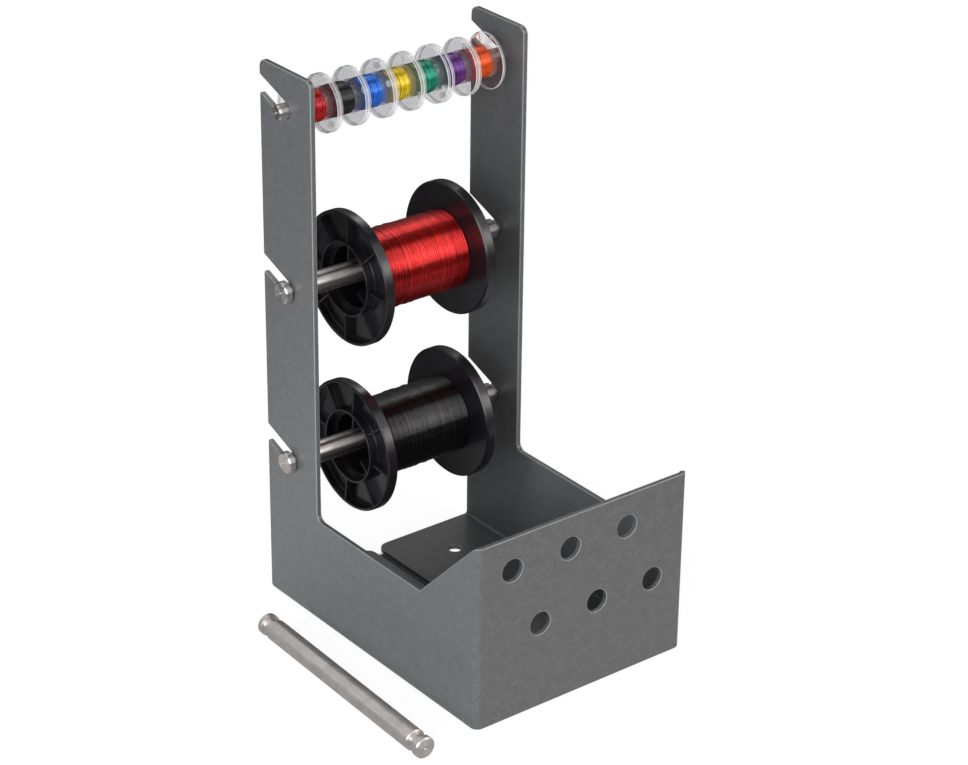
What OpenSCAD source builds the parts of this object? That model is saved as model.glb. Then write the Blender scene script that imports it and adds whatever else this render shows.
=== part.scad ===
// Bench stand for unwinding wire: one folded sheet frame with three pairs of open slots,
// two spools and a row of bobbins on lift-out axles, and a spare axle lying beside it.
// X runs across the stand, Y from the front panel to the back, Z up from the bench.
// The origin is the middle of the four bench holes, on the bench.

/* [Sheet] */
// Thickness of the folded sheet
sheet_t = 2; // [1.5:0.1:2.5]
// Inside radius of every fold
bend_r = 1; // [0.6:0.1:2]
// Depth of the stand from the front panel to the back edges
stand_d = 122.5; // [112:0.5:150]
// Play left beside the row of bobbins between the side panels
row_play = 6.6; // [3:0.1:40]
// Depth of each upright
post_d = 30; // [24:0.5:36]
// Height of the low side wall in front of the upright
wall_h = 42; // [36:0.5:50]
// Height of the front panel's top edge
front_h = 72; // [66:0.5:80]
// Height of the front panel's bottom edge above the bench
foot_gap = 1.5; // [0.5:0.1:2]
// Radius of the uprights' top corners
top_corner_r = 3; // [1:0.5:5]
// Radius of the inner corner between the low wall and the upright
throat_r = 3; // [1:0.5:5]

/* [Floor] */
// Gap between the two floor flanges
floor_gap = 3.2; // [1:0.1:8]
// Distance from the front panel's face to the floor flanges
floor_setback = 7; // [5:0.5:12]
// Radius of the floor flanges' free corners
floor_corner_r = 4; // [2:0.5:8]
// Diameter of the bench screw holes
bench_hole_d = 5; // [3:0.1:6]
// Distance from a side panel's outer face to the bench holes
bench_inset_x = 22.25; // [14:0.25:26]
// Distance from the front and back edges to the bench holes
bench_inset_y = 19.25; // [14:0.25:26]

/* [Axle slots] */
// Height of the lowest axle above the bench
low_seat_h = 60; // [52:0.5:70]
// Height from one axle to the next
seat_rise = 66.5; // [60:0.5:80]
// Height of the uprights above the top axle
seat_head = 14.5; // [12:0.5:24]
// Width of every slot
slot_w = 6; // [5:0.1:7]
// Rise of the slots towards the back edge, in degrees
slot_angle = 20.5; // [10:0.5:30]

/* [Guide holes] */
// Diameter of the wire guide holes in the front panel
guide_d = 8.6; // [5:0.1:10]
// Distance between neighbouring guide holes in a row
guide_pitch = 25; // [20:0.5:28]
// Height between the two rows of guide holes
guide_rise = 25; // [16:0.5:28]
// Distance from the front panel's top edge to the upper row
guide_drop = 12.5; // [8:0.5:18]

/* [Axles] */
// Diameter of the spool axles
axle_d = 8; // [7.6:0.1:10]
// Length of the head outside each side panel
head_len = 2.6; // [2:0.1:5]
// Side play between the sheet and the axle's shoulders
axle_play = 0.6; // [0.3:0.05:1.5]
// Share of the side play that the seated axles have slid to the right
axle_shift_share = -0.5; // [-0.5:0.1:0.5]
// Clearance round a neck in its slot
neck_play = 0.15; // [0.1:0.05:0.4]
// Clearance round the top axle in its slot
top_axle_play = 0.25; // [0.1:0.05:0.5]
// Chamfer on the ends of the axles
axle_chamfer = 0.5; // [0.2:0.1:0.8]
// Depth of the lathe centre in each end face
centre_depth = 0.4; // [0.2:0.1:0.8]

/* [Spools] */
// Diameter of the spool flanges
spool_d = 49.5; // [44:0.5:56]
// Length of a spool over its flanges
spool_len = 48.5; // [40:0.5:56]
// Side offset of the black wire's spool from the middle of the stand
black_shift = 2.7; // [-8:0.1:8]
// Side offset of the red wire's spool from the middle of the stand
red_shift = 1.9; // [-8:0.1:8]
// Turn of the black wire's spool on its axle, in degrees
black_turn = 7.3; // [0:0.1:45]
// Turn of the red wire's spool on its axle, in degrees
red_turn = 2.5; // [0:0.1:45]
// Width of a flange's rim
flange_t = 4.2; // [3:0.1:5]
// Thickness of a flange's web
web_t = 1.2; // [1:0.1:2.2]
// Thickness of the rim round the web
rim_t = 1.2; // [1:0.1:2.5]
// Outer diameter of the ring round the hub
hub_ring_d = 28; // [26.5:0.5:32]
// Wall of the ring round the hub
hub_ring_wall = 0.9; // [0.8:0.1:1.4]
// Height of the hub ring above the rim
hub_ring_proud = 0.5; // [0.3:0.1:3]
// Outer diameter of the barrel under the wire
barrel_d = 24.8; // [23:0.1:25.5]
// Wall of the barrel
barrel_wall = 1; // [0.8:0.1:2]
// Play of the spool's bore round its axle, on the radius
bore_play = 1.95; // [0.3:0.05:2]
// Wall of the bore tube
bore_wall = 1.6; // [1:0.1:2.5]
// Depth of the bore tube behind the rim
bore_recess = 11; // [1:0.1:14]
// Thickness of every moulded rib
rib_t = 0.9; // [0.8:0.1:1.6]
// Distance of the ribs' edges below the rim
rib_drop = 0.3; // [0.1:0.1:1]
// Distance of the barrel ribs' ends behind the rim
hub_rib_drop = 1; // [0.5:0.1:4]
// Chamfer on the rim's edges
rim_chamfer = 0.5; // [0.1:0.1:0.6]

/* [Wire on the spools] */
// Thickness of the inner layers of wire
spool_layers_t = 0.6; // [0.3:0.05:0.8]
// Diameter of a turn in the outer layer
spool_turn_d = 1.2; // [0.8:0.05:1.4]

/* [Bobbins] */
// Diameter of the bobbin flanges
bobbin_d = 20.8; // [18:0.1:24]
// Width of a bobbin
bobbin_w = 11.6; // [10.5:0.1:14]
// Thickness of a bobbin flange
bobbin_flange_t = 1.1; // [0.8:0.1:1.4]
// Play of the bobbin's bore round the top axle, on the radius
bobbin_play = 0.75; // [0.1:0.05:0.9]
// Wall of the bobbin's hub
bobbin_wall = 0.8; // [0.6:0.1:1.2]
// Gap between neighbouring bobbins
bobbin_gap = 0.1; // [0.1:0.05:0.3]
// Extra gap where the row of bobbins has parted
parting_gap = 0.6; // [0.3:0.1:1]
// Side offset of the row of bobbins from the middle of the stand
row_shift = -1.4; // [-2:0.1:1]
// Diameter of the thread hole in a bobbin flange
thread_hole_d = 2; // [1:0.1:2.4]
// Distance of the thread hole from the bobbin's axis
thread_hole_r = 8; // [7:0.1:8.4]
// Chamfer on the bobbin's edges
bobbin_chamfer = 0.3; // [0.1:0.05:0.4]

/* [Wire on the bobbins] */
// Thickness of the inner layers of wire
bobbin_layers_t = 0.4; // [0.3:0.05:0.9]
// Diameter of a turn in the outer layer
bobbin_turn_d = 0.9; // [0.7:0.05:0.95]

/* [Spare axle] */
// Distance from the left side panel to the spare axle's middle
spare_gap = 20.2; // [14:0.1:40]
// Distance of the spare axle's middle from the origin along Y
spare_shift = -12.5; // [-30:0.1:30]
// Turn of the spare axle out of line with the side panel, in degrees
spare_turn = 1.8; // [-5:0.1:5]

/* [Hidden] */
$fn = 96;

// Overrun of every cut, and the running film between a bore and its axle
over = 1;
film = 0.05;

// Colours of the bobbins' wires, from left to right
bobbin_colours = ["darkred", "#202124", "royalblue", "gold", "seagreen", "indigo", "orangered"];
bobbin_count = len(bobbin_colours);
// Angles of the thread holes, from left to right, in degrees
thread_hole_angles = [-131, 20, 150, 75, 200, -120, 100];
// The row has parted after this bobbin
parted_after = 5;

// Sheet
fold_r = bend_r + sheet_t;
row_pitch = bobbin_w + bobbin_gap;
inner_w = bobbin_count * row_pitch + row_play;
stand_w = inner_w + 2 * sheet_t;
half_w = stand_w / 2;
front_y = -stand_d / 2;
back_y = stand_d / 2;
post_y = back_y - post_d;
notch_y = front_y + sheet_t + front_h - wall_h;
flange_y = front_y + floor_setback;
stand_h = low_seat_h + 2 * seat_rise + seat_head;

// Slots
seat_y = back_y - post_d / 2;
seat_heights = [low_seat_h, low_seat_h + seat_rise, low_seat_h + 2 * seat_rise];
slot_run = post_d;

// Guide holes: each row is shifted a quarter of the pitch, one to each side
guide_rows = [
  [front_h - guide_drop, -guide_pitch / 4],
  [front_h - guide_drop - guide_rise, guide_pitch / 4]
];

// Bench holes
bench_x = half_w - bench_inset_x;
bench_y = stand_d / 2 - bench_inset_y;

// Axles
neck_d = slot_w - 2 * neck_play;
shoulder_x = half_w - sheet_t - axle_play;
head_x = half_w + axle_play;
axle_end_x = head_x + head_len;
axle_shift = axle_shift_share * axle_play;
top_axle_d = slot_w - 2 * top_axle_play;

// Spools
bore_r = axle_d / 2 + bore_play;
bore_tube_r = bore_r + bore_wall;
barrel_r = barrel_d / 2;
barrel_in_r = barrel_r - barrel_wall;
hub_ring_r = hub_ring_d / 2;
rim_in_r = spool_d / 2 - rim_t;
spool_hang = bore_play - film;
flange_rib_count = 8;
flange_rib_step = 360 / flange_rib_count;
barrel_rib_count = 3;
barrel_rib_step = 360 / barrel_rib_count;
spool_shifts = [black_shift, red_shift];
spool_turns = [black_turn, red_turn];

// Wire: the outer turns are one tube, straight between its rings
spool_loops = 20;
spool_rings = 16;
bobbin_loops = 6;
bobbin_rings = 11;
tube_sides = 4;
spool_gap_w = spool_len - 2 * flange_t;
bobbin_gap_w = bobbin_w - 2 * bobbin_flange_t;
spool_layers_r = barrel_r + film + spool_layers_t;
bobbin_bore_r = top_axle_d / 2 + bobbin_play;
bobbin_hub_r = bobbin_bore_r + bobbin_wall;
bobbin_layers_r = bobbin_hub_r + film + bobbin_layers_t;
bobbin_hang = bobbin_play - film;

// Radius of a tube's path whose straight stretches just clear the layers under it
function turn_r(layers_r, turn_d, rings) = (layers_r + film + turn_d / 2) / cos(180 / rings);

// Points of a winding's path about X, each loop with its number of rings
function turn_path(width, radius, turn_d, loops, rings) =
  let (run = width - turn_d - 4 * film)
  [for (i = [0 : loops * rings])
    let (a = 360 * i / rings, s = i / (loops * rings))
    [run * (s - 1 / 2), radius * cos(a), radius * sin(a)]];

function unit(v) = v / norm(v);

function ring_points(path, i, radius, sides) =
  let (
    last = len(path) - 1,
    along = unit(path[min(i + 1, last)] - path[max(i - 1, 0)]),
    out = unit([0, path[i].y, path[i].z]),
    rise = unit(out - along * (out * along)),
    side = cross(along, rise)
  )
  [for (k = [0 : sides - 1])
    path[i] + radius * (cos(360 * k / sides) * rise + sin(360 * k / sides) * side)];

// Least gap of a winding to itself, measured from point to point more than half a loop apart
function least_gap(path, turn_d, rings) =
  min([for (i = [0 : len(path) - 1])
    for (j = [i + ceil(rings / 2) : 1 : len(path) - 1])
      norm(path[i] - path[j])]) - turn_d;

module tube(path, radius, sides) {
  rings = len(path);
  points = [for (i = [0 : rings - 1]) each ring_points(path, i, radius, sides)];
  walls = [for (i = [0 : rings - 2]) for (k = [0 : sides - 1])
    let (a = i * sides + k, b = i * sides + (k + 1) % sides)
    each [[a, b, b + sides], [a, b + sides, a + sides]]];
  start_cap = [for (k = [1 : sides - 2]) [0, k + 1, k]];
  first = (rings - 1) * sides;
  end_cap = [for (k = [1 : sides - 2]) [first, first + k, first + k + 1]];
  polyhedron(points = points, faces = concat(walls, start_cap, end_cap));
}

// A round bar, bore or disc lying along X, from x0 to x1
module along_x(x0, x1, r0, r1 = -1) {
  translate([x0, 0, 0]) rotate([0, 90, 0])
    cylinder(h = x1 - x0, r1 = r0, r2 = r1 < 0 ? r0 : r1);
}

module ring_x(x0, x1, outer_r, inner_r) {
  difference() {
    along_x(x0, x1, outer_r);
    along_x(x0 - over, x1 + over, inner_r);
  }
}

// A box given by its lowest and highest corners
module block(low, high) {
  translate(low) cube(high - low);
}

// Upright box with its two front edges rounded
module front_rounded_box(low, high, radius) {
  block([low.x, low.y + radius, low.z], high);
  block([low.x + radius, low.y, low.z], [high.x - radius, high.y, high.z]);
  for (x = [low.x + radius, high.x - radius])
    translate([x, low.y + radius, low.z]) cylinder(h = high.z - low.z, r = radius);
}

// Waste outside a rounded corner; dir points from the arc's centre to the corner
module corner_waste(width, centre, radius, dir) {
  difference() {
    block([-width / 2, min(centre[0], centre[0] + dir[0] * (radius + over)),
                       min(centre[1], centre[1] + dir[1] * (radius + over))],
          [width / 2, max(centre[0], centre[0] + dir[0] * (radius + over)),
                      max(centre[1], centre[1] + dir[1] * (radius + over))]);
    translate([0, centre[0], centre[1]]) along_x(-width / 2 - over, width / 2 + over, radius);
  }
}

// Side view of the walls, cut through the whole width
module side_outline(width) {
  translate([-width / 2, 0, 0]) rotate([90, 0, 90]) linear_extrude(width)
    polygon([
      [front_y - over, foot_gap], [flange_y, foot_gap], [flange_y, fold_r],
      [back_y, fold_r], [back_y, stand_h], [post_y, stand_h],
      [post_y, wall_h], [notch_y, wall_h], [front_y + sheet_t, front_h],
      [front_y - over, front_h]
    ]);
}

module throat_fillet(width) {
  difference() {
    block([-width / 2, post_y - throat_r, wall_h - sheet_t], [width / 2, post_y, wall_h + throat_r]);
    translate([0, post_y - throat_r, wall_h + throat_r])
      along_x(-width / 2 - over, width / 2 + over, throat_r);
  }
}

// Side panels and front panel with their two upright folds
module walls() {
  width = stand_w + 2 * over;
  intersection() {
    difference() {
      front_rounded_box([-half_w, front_y, 0], [half_w, back_y, stand_h], fold_r);
      front_rounded_box([-half_w + sheet_t, front_y + sheet_t, -over],
                        [half_w - sheet_t, back_y + over, stand_h + over], bend_r);
    }
    difference() {
      union() {
        side_outline(width);
        throat_fillet(width);
      }
      corner_waste(width + over, [back_y - top_corner_r, stand_h - top_corner_r],
                   top_corner_r, [1, 1]);
      corner_waste(width + over, [post_y + top_corner_r, stand_h - top_corner_r],
                   top_corner_r, [-1, 1]);
    }
  }
}

// Waste at a free corner of a floor flange
module flange_corner_waste(y, dir) {
  cy = y - dir * floor_corner_r;
  cx = floor_gap / 2 + floor_corner_r;
  difference() {
    block([floor_gap / 2 - over, min(cy, y + dir * over), -over],
          [cx, max(cy, y + dir * over), sheet_t + over]);
    translate([cx, cy, -2 * over]) cylinder(h = sheet_t + 4 * over, r = floor_corner_r);
  }
}

// Right floor flange with its fold up to the side panel
module floor_flange() {
  difference() {
    block([floor_gap / 2, flange_y, 0], [half_w - fold_r, back_y, sheet_t]);
    flange_corner_waste(back_y, 1);
    flange_corner_waste(flange_y, -1);
  }
  intersection() {
    translate([half_w - fold_r, 0, fold_r]) rotate([-90, 0, 0])
      difference() {
        translate([0, 0, flange_y]) cylinder(h = back_y - flange_y, r = fold_r);
        translate([0, 0, flange_y - over]) cylinder(h = back_y - flange_y + 2 * over, r = bend_r);
      }
    block([half_w - fold_r, flange_y, 0], [half_w, back_y, fold_r]);
  }
}

module axle_slot(height) {
  translate([0, seat_y, height]) rotate([slot_angle, 0, 0]) {
    along_x(-half_w - over, half_w + over, slot_w / 2);
    block([-half_w - over, 0, -slot_w / 2], [half_w + over, slot_run, slot_w / 2]);
  }
}

module guide_holes() {
  for (row = guide_rows)
    for (column = [-1 : 1])
      translate([column * guide_pitch + row[1], front_y - over, row[0]])
        rotate([-90, 0, 0]) cylinder(h = sheet_t + 2 * over, d = guide_d);
}

module bench_holes() {
  for (x = [-bench_x, bench_x])
    for (y = [-bench_y, bench_y])
      translate([x, y, -over]) cylinder(h = sheet_t + 2 * over, d = bench_hole_d);
}

module folded_frame() {
  color("#5d6264")
    difference() {
      union() {
        walls();
        floor_flange();
        mirror([1, 0, 0]) floor_flange();
      }
      for (height = seat_heights)
        axle_slot(height);
      guide_holes();
      bench_holes();
    }
}

// Turned end of an axle: a chamfered bar from x0 to x1 with a lathe centre in its face
module turned_end(x0, x1, radius) {
  difference() {
    union() {
      along_x(x0, x1 - axle_chamfer, radius);
      along_x(x1 - axle_chamfer, x1, radius, radius - axle_chamfer);
    }
    along_x(x1 - centre_depth, x1 + over, 0, centre_depth + over);
  }
}

// Axle with a neck at each end that drops into the slots
module necked_axle() {
  radius = axle_d / 2;
  along_x(-shoulder_x + axle_chamfer, shoulder_x - axle_chamfer, radius);
  for (side = [0, 1])
    mirror([side, 0, 0]) {
      along_x(shoulder_x - axle_chamfer, shoulder_x, radius, radius - axle_chamfer);
      along_x(shoulder_x - over, head_x + over, neck_d / 2);
      turned_end(head_x, axle_end_x, radius);
    }
}

module spool_axle(height) {
  color("#b9b4ae") translate([axle_shift, seat_y, height]) necked_axle();
}

// The top axle is a plain bar
module top_axle() {
  color("#b9b4ae") translate([axle_shift, seat_y, seat_heights[2]])
    for (side = [0, 1])
      mirror([side, 0, 0]) turned_end(0, axle_end_x, top_axle_d / 2);
}

module spare_axle() {
  color("#b9b4ae")
    translate([-half_w - spare_gap, spare_shift, axle_d / 2])
      rotate([0, 0, 90 - spare_turn]) necked_axle();
}

// Half of a spool's section as [radius, x], from the middle of the bore's side round to the
// middle of the winding's side, on the +X side
function spool_half_section() =
  let (
    half = spool_len / 2,
    inner_x = half - flange_t,
    web_x = inner_x + web_t,
    proud_x = half + hub_ring_proud,
    outer_r = spool_d / 2
  )
  [
    [barrel_in_r, web_x], [hub_ring_r - hub_ring_wall, web_x],
    [hub_ring_r - hub_ring_wall, proud_x], [hub_ring_r, proud_x], [hub_ring_r, web_x],
    [rim_in_r, web_x], [rim_in_r, half], [outer_r - rim_chamfer, half],
    [outer_r, half - rim_chamfer], [outer_r, inner_x + rim_chamfer],
    [outer_r - rim_chamfer, inner_x], [barrel_r, inner_x]
  ];

// Flanges, hub rings and barrel as one turned form
module spool_shell() {
  half_section = spool_half_section();
  last = len(half_section) - 1;
  mirrored = [for (i = [last : -1 : 0]) [half_section[i][0], -half_section[i][1]]];
  rotate([0, 90, 0]) rotate_extrude() polygon(concat(half_section, mirrored));
}

module flange_ribs() {
  for (k = [0 : flange_rib_count - 1])
    rotate([k * flange_rib_step, 0, 0])
      block([spool_len / 2 - flange_t + web_t / 2, hub_ring_r - hub_ring_wall / 2, -rib_t / 2],
            [spool_len / 2 - rib_drop, rim_in_r + rim_t / 2, rib_t / 2]);
}

module spool_moulding() {
  spool_shell();
  for (side = [0, 1])
    mirror([side, 0, 0]) flange_ribs();
  bore_x = spool_len / 2 - bore_recess;
  ring_x(-bore_x, bore_x, bore_tube_r, bore_r);
  for (k = [0 : barrel_rib_count - 1])
    rotate([90 - k * barrel_rib_step, 0, 0]) barrel_rib();
}

// Rib from the bore tube to the barrel, with its ends drawn out to the hub rings
module barrel_rib() {
  low_r = bore_tube_r - bore_wall / 2;
  end_x = spool_len / 2 - hub_rib_drop;
  web_x = spool_len / 2 - flange_t + web_t / 2;
  block([-end_x, low_r, -rib_t / 2], [end_x, barrel_in_r + barrel_wall / 2, rib_t / 2]);
  for (side = [0, 1])
    mirror([side, 0, 0])
      block([web_x, low_r, -rib_t / 2], [end_x, hub_ring_r - hub_ring_wall / 2, rib_t / 2]);
}

// Middle of the spool that hangs on the lower axle (0) or the upper one (1)
module on_axle(level) {
  translate([spool_shifts[level], seat_y, seat_heights[level] - spool_hang])
    rotate([spool_turns[level], 0, 0]) children();
}

module spool(level) {
  color("#17171a") on_axle(level) spool_moulding();
}

module spool_layers(level, tint) {
  color(tint) on_axle(level)
    ring_x(-spool_gap_w / 2 + film, spool_gap_w / 2 - film, spool_layers_r, barrel_r + film);
}

module spool_turns(level, tint) {
  path = turn_path(spool_gap_w, turn_r(spool_layers_r, spool_turn_d, spool_rings), spool_turn_d,
                   spool_loops, spool_rings);
  echo("spool turns: least gap in mm", least_gap(path, spool_turn_d, spool_rings));
  color(tint) on_axle(level) tube(path, spool_turn_d / 2, tube_sides);
}

// Middle of a bobbin, counted from the left
module in_row(number) {
  x = row_shift + (number - (bobbin_count + 1) / 2) * row_pitch
    + (number > parted_after ? parting_gap : 0);
  translate([x, seat_y, seat_heights[2] - bobbin_hang]) children();
}

module bobbin_moulding(hole_angle) {
  outer_r = bobbin_d / 2;
  half = bobbin_w / 2;
  inner_x = half - bobbin_flange_t;
  difference() {
    rotate([0, 90, 0]) rotate_extrude()
      polygon([
        [bobbin_bore_r, -half], [outer_r - bobbin_chamfer, -half], [outer_r, -half + bobbin_chamfer],
        [outer_r, -inner_x - bobbin_chamfer], [outer_r - bobbin_chamfer, -inner_x],
        [bobbin_hub_r, -inner_x], [bobbin_hub_r, inner_x], [outer_r - bobbin_chamfer, inner_x],
        [outer_r, inner_x + bobbin_chamfer], [outer_r, half - bobbin_chamfer],
        [outer_r - bobbin_chamfer, half], [bobbin_bore_r, half]
      ]);
    rotate([hole_angle, 0, 0]) translate([0, thread_hole_r, 0])
      along_x(-half - over, half + over, thread_hole_d / 2);
  }
}

module bobbin(number) {
  color("#dfe4e8", 0.45) in_row(number) bobbin_moulding(thread_hole_angles[number - 1]);
}

module bobbin_layers(number) {
  color(bobbin_colours[number - 1]) in_row(number)
    ring_x(-bobbin_gap_w / 2 + film, bobbin_gap_w / 2 - film, bobbin_layers_r, bobbin_hub_r + film);
}

module bobbin_turns(number) {
  path = turn_path(bobbin_gap_w, turn_r(bobbin_layers_r, bobbin_turn_d, bobbin_rings),
                   bobbin_turn_d, bobbin_loops, bobbin_rings);
  echo("bobbin turns: least gap in mm", least_gap(path, bobbin_turn_d, bobbin_rings));
  color(bobbin_colours[number - 1]) in_row(number) tube(path, bobbin_turn_d / 2, tube_sides);
}

folded_frame();
spool_axle(seat_heights[0]);  // lower_axle
spool_axle(seat_heights[1]);  // upper_axle
top_axle();
spare_axle();
spool(0);  // black_spool
spool_layers(0, "#1c1a1b");  // black_wire_layers
spool_turns(0, "#252122");  // black_wire_turns
spool(1);  // red_spool
spool_layers(1, "#8e1212");  // red_wire_layers
spool_turns(1, "#d81f1c");  // red_wire_turns
for (i = [1 : bobbin_count]) {
  bobbin(i);
  bobbin_layers(i);
  bobbin_turns(i);
}
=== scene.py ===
"""Looks for a bench stand for unwinding wire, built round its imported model.

Everything is in metres, in the model's own frame: X runs across the stand, Y from the
front panel to the back, Z up from the bench. Outlines are written in millimetres and
scaled by MM where they become meshes.
"""

import math
import random

import bpy
import bmesh
import numpy as np
from mathutils import Matrix, Vector
from mathutils.geometry import delaunay_2d_cdt


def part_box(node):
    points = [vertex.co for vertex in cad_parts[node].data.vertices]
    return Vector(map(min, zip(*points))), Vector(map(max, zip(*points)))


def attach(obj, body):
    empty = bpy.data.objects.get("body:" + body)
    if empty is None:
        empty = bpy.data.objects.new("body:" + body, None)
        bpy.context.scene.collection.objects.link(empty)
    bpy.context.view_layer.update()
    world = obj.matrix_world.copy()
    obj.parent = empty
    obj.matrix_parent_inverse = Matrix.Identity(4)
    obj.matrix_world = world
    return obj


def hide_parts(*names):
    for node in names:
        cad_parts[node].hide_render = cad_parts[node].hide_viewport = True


MM = 0.001
WIRE_SEED = 7

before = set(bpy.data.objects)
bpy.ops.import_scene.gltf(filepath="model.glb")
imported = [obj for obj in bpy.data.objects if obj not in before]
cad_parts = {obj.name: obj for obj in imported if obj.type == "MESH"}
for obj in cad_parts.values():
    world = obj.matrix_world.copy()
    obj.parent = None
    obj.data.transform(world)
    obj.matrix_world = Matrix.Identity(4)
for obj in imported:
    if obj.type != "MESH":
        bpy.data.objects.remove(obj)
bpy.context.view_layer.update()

# Camera, as fitted to the photograph
CAMERA_PLACE = (-0.5647, -0.72068, 0.55352)
CAMERA_AZIMUTH = -38.27
CAMERA_ELEVATION = 26.562
CAMERA_ROLL = 0.705
CAMERA_LENS = 109.33
CAMERA_SENSOR = 36

CAMERA_NEAR = 0.05
CAMERA_FAR = 50

# Studio, in metres: lamps as name, place, target, width, height, power, colour, seen in metal
WHITE = (1.0, 1.0, 1.0, 1.0)
COOL = (0.88, 0.95, 1.0)
WARM = (1.0, 0.945, 0.91)
LAMPS = [
    ("left_screen", (-1.1, 0.046, 0.25), (0, 0.046, 0.1), 0.1, 0.5, 4.9, COOL, False),
    ("left_glow", (-1.0, -0.6, 0.5), (0, 0, 0.1), 1.0, 0.8, 6.5, COOL, True),
    ("front_screen", (-0.1, -1.6, 0.6), (0, 0, 0.1), 1.2, 0.8, 10, WARM, False),
    ("right_screen", (0.95, -1.2, 0.75), (0, 0, 0.1), 0.8, 0.5, 3.8, WARM, True),
    ("top_strip", (0.9, 0.6, 1.2), (0, 0, 0.1), 0.8, 0.12, 1.6, WARM, True),
]
AMBIENT = 0.24

# Light tent that metal sees: height angle from the front horizon over the top, and level
TENT = [
    (-180, 0.12),
    (1, 0.12),
    (7, 1.0),
    (66, 1.0),
    (72, 0.08),
    (93, 0.08),
    (99, 0.9),
    (128, 0.9),
    (142, 0.3),
    (165, 0.12),
]

# Floor, in metres; pairs are the places where a change begins and ends
FLOOR_SIZE = 8.0
FLOOR_DROP = 0.0001
FLOOR_PAINT = (0.86, 0.86, 0.86, 1)
FLOOR_GLOW = 1.2
FLOOR_SHADOW_SHARE = 0.25
FLOOR_BOUNCE_SHARE = 0.5
FLOOR_GLOSS_NEAR = 0.4
FLOOR_GLOSS_FAR = 0.08
GLOSS_REACH = (0.12, 0.42)
GLARE = 0.3
GLARE_REACH = (0.3, 0.46)
GLARE_BACK = (0.05, 0.12)
GLARE_ASIDE = (0.0, 0.035)
SLANT = 0.786
BACK_SHADE = 0.1
SHADE_BACK = (0.0, 0.08)
SHADE_ASIDE = (0.02, 0.06)
# Painted shadow on the floor in the narrow gap between the floor flanges
PAINTED_GAP_SHADOW_SHARE = 0.95
PAINTED_GAP_SHADOW_GLOW = 0.02
PAINTED_GAP_SHADOW_SIDE_FADE = 0.0003
PAINTED_GAP_SHADOW_END_FADE = 0.002

# Folded sheet, in millimetres
SHEET_T = 2
FOLD_R = 3
HALF_W = 46.25
FRONT_Y = -61.25
BACK_Y = 61.25
POST_Y = 31.25
STAND_H = 207.5
WALL_H = 42
FRONT_H = 72
FOOT_GAP = 1.5
NOTCH_Y = -29.25
FLANGE_Y = -54.25
FLOOR_GAP = 3.2
FLOOR_CORNER_R = 4
TOP_CORNER_R = 3
THROAT_R = 3
NOTCH_R = 1.5
FRONT_CORNER_R = 1.2
FRONT_CORNER_SHARE = 0.7
SEAT_Y = 46.25
SEAT_HEIGHTS = (60, 126.5, 193)
SLOT_W = 6
SLOT_ANGLE = 20.5
GUIDE_R = 4.3
GUIDE_PLACES = [
    (column * 25 + shift, height)
    for height, shift in ((59.5, -6.25), (34.5, 6.25))
    for column in (-1, 0, 1)
]
BENCH_HOLE_R = 2.5
BENCH_X = 24
BENCH_Y = 42
EDGE_R = 0.4
RELIEF_W = 0.3
CORNER_R = 0.5
CORNER_STEPS = 6
SEAT_STEPS = 24
HOLE_STEPS = 40
EDGE_STEPS = 3
FOLD_STEPS = 8
MITRE_LIMIT = 0.5
JOIN_WITHIN = 1e-6
CUT_WITHIN = 1e-5

# Corner radii of turned and moulded sections, in millimetres
EASE_TINY = 0.05
EASE_FINE = 0.1
EASE_SLIGHT = 0.15
EASE_SOFT = 0.2
EASE_ROUND = 0.25
EASE_FULL = 0.3
EASE_RIM = 0.6
EASE_STEPS = 4
AXLE_EASE_STEPS = 3

# Meshing and shading of turned and moulded forms; angles in degrees
BRACE = 0.08
BRACED_FROM = 0.48
AXLE_SEGMENTS = 72
SPOOL_SEGMENTS = 96
TUBE_SEGMENTS = 64
BOBBIN_SEGMENTS = 80
DRILL_SEGMENTS = 24
SHARP_TURNED = 35
SHARP_SPOOL = 32

# Axles, in millimetres
AXLE_R = 4
NECK_R = 2.85
TOP_AXLE_R = 2.75
AXLE_HALF = 49.45
HEAD_X = 46.85
SHOULDER_X = 43.65
AXLE_CHAMFER = 0.5
CENTRE_R = 0.55
CENTRE_DEPTH = 0.4

# Spools, in millimetres
SPOOL_R = 24.75
SPOOL_HALF = 24.25
FLANGE_T = 4.2
WEB_T = 1.2
RIM_T = 1.2
RIM_CHAMFER = 0.6
HUB_RING_R = 14
HUB_RING_WALL = 0.9
HUB_RING_PROUD = 0.5
BARREL_R = 12.4
BARREL_WALL = 1
BORE_R = 5.95
BORE_WALL = 1.6
BORE_RECESS = 11
HUB_RIB_DROP = 1
RIB_T = 0.9
RIB_DROP = 0.3
FLANGE_RIBS = 8
BARREL_RIB_ANGLES = (90, -30, -150)
SPOOL_TURNS = {"black": 7.3, "red": 2.5}
SPOOL_WIRE_R = 0.22
SPOOL_WIRE_PITCH = 0.3
SPOOL_WIRE_STEPS = 48
SPOOL_WIRE_SIDES = 6
SPOOL_WINDING_R = 14.55
SPOOL_WINDING_PLAY = 0.1
SPOOL_UNEVEN = 0.2
SPOOL_STRAYS = {"count": 9, "room": 6, "drifts": (1.5, 6), "spans": (0.6, 1.4)}

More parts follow.
